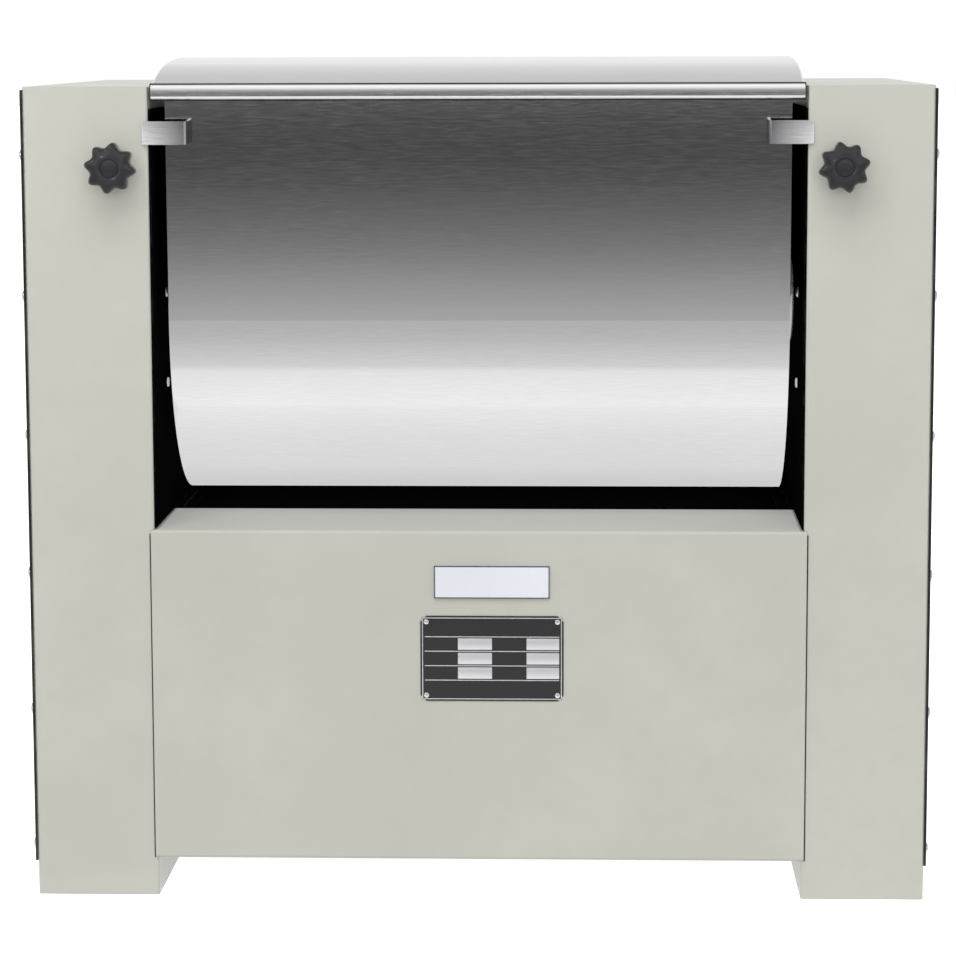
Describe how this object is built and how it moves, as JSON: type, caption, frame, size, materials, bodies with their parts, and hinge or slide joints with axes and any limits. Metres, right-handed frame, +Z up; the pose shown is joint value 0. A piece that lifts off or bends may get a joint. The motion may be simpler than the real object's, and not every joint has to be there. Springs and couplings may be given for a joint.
{
  "type": "dough mixer",
  "caption": "Floor-standing dough mixer with a tilting steel trough and arched lid between two tall drive columns, helical mixing blades inside, gear and belt drive, knobs and push buttons.",
  "frame": {"origin": "on the floor, under the middle of the machine's overall box", "axes": "+X to the right of someone who faces the front, +Y to the rear, +Z up"},
  "size_m": [0.911, 0.62, 0.8459],
  "materials": {
    "painted_sheet": "smooth pale grey enamel",
    "frame_paint": "dark grey enamel",
    "black_plate": "satin black",
    "trough_steel": "fine satin grain",
    "lid_steel": "polished",
    "mixer_steel": "satin welded steel",
    "fastener_steel": "bright zinc",
    "machined_steel": "machined",
    "cast_iron": "as cast, machined on seats",
    "motor_paint": "enamel",
    "belt_rubber": "fabric faced",
    "knob_plastic": "moulded",
    "fan_plastic": "moulded",
    "badge_metal": "bare",
    "rating_metal": "bare",
    "switch_tray": "moulded",
    "start_colour": "moulded",
    "stop_colour": "moulded",
    "block_plastic": "moulded",
    "gland_plastic": "moulded"
  },
  "bodies": {
    "frame": {"left_column": "painted_sheet", "right_column": "painted_sheet", "left_side_cover": "painted_sheet", "right_side_cover": "painted_sheet", "side_cover_screws": "fastener_steel", "left_inner_plate": "black_plate", "right_inner_plate": "black_plate", "inner_plate_screws": "fastener_steel", "knob_studs": "fastener_steel", "front_panel": "painted_sheet", "base_deck": "frame_paint", "rear_panel": "painted_sheet", "base_frame": "frame_paint", "motor_housing": "motor_paint", "motor_bolts": "fastener_steel", "motor_fan_cover": "motor_paint", "motor_terminal_box": "motor_paint", "drive_belt": "belt_rubber", "bearing_cross_bar": "frame_paint", "bearing_units": "cast_iron", "pivot_sleeves": "machined_steel", "housing_bolts": "fastener_steel", "badge_plate": "badge_metal", "rating_plate": "rating_metal", "plate_rivets": "fastener_steel", "switch_panel": "switch_tray", "button_rings": "switch_tray", "switch_blocks": "block_plastic", "cable_gland": "gland_plastic", "gland_nut": "gland_plastic"},
    "trough": {"trough": "trough_steel", "stop_lugs": "trough_steel", "trough_hinge_brackets": "trough_steel", "lid_hinge_pins": "lid_steel"},
    "lid": {"lid": "lid_steel", "lid_hinge_leaves": "lid_steel"},
    "agitator": {"mixing_shaft": "mixer_steel", "shaft_collars": "machined_steel", "gear_retainer": "fastener_steel", "main_gear": "machined_steel"},
    "countershaft": {"countershaft": "machined_steel", "pinion": "machined_steel", "driven_pulley": "cast_iron"},
    "motor_rotor": {"motor_rotor": "machined_steel", "motor_fan": "fan_plastic", "motor_pulley": "cast_iron"},
    "left_knob": {"left_star_knob": "knob_plastic"},
    "right_knob": {"right_star_knob": "knob_plastic"},
    "start_button": {"start_button": "start_colour"},
    "stop_button": {"stop_button": "stop_colour"}
  },
  "joints": [
    {"name": "trough_tilt", "type": "hinge", "parent": "frame", "child": "trough", "pos_m": [0, -0.042, 0.592], "axis": [1, 0, 0], "range_deg": [0, 70]},
    {"name": "lid_hinge", "type": "hinge", "parent": "trough", "child": "lid", "pos_m": [0, 0.194, 0.8165], "axis": [-1, 0, 0], "range_deg": [0, 95]},
    {"name": "agitator_spin", "type": "hinge", "parent": "frame", "child": "agitator", "pos_m": [0, -0.042, 0.592], "axis": [1, 0, 0], "continuous": true},
    {"name": "countershaft_spin", "type": "hinge", "parent": "frame", "child": "countershaft", "pos_m": [0, 0.057, 0.42053], "axis": [1, 0, 0], "continuous": true},
    {"name": "motor_spin", "type": "hinge", "parent": "frame", "child": "motor_rotor", "pos_m": [0, 0.058, 0.1493], "axis": [1, 0, 0], "continuous": true},
    {"name": "left_knob_turn", "type": "hinge", "parent": "frame", "child": "left_knob", "pos_m": [-0.3595, -0.272, 0.74], "axis": [0, 1, 0], "range_deg": [0, 360]},
    {"name": "right_knob_turn", "type": "hinge", "parent": "frame", "child": "right_knob", "pos_m": [0.3595, -0.272, 0.74], "axis": [0, 1, 0], "range_deg": [0, 360]},
    {"name": "start_press", "type": "slide", "parent": "frame", "child": "start_button", "axis": [1, 0, 0], "range_m": [0, 0.004], "stiffness_N_per_m": 400},
    {"name": "stop_press", "type": "slide", "parent": "frame", "child": "stop_button", "axis": [1, 0, 0], "range_m": [0, 0.004], "stiffness_N_per_m": 400}
  ],
  "couplings": [
    {"joint": "countershaft_spin", "follows": "agitator_spin", "ratio": -5},
    {"joint": "motor_spin", "follows": "agitator_spin", "ratio": -21.875}
  ]
}
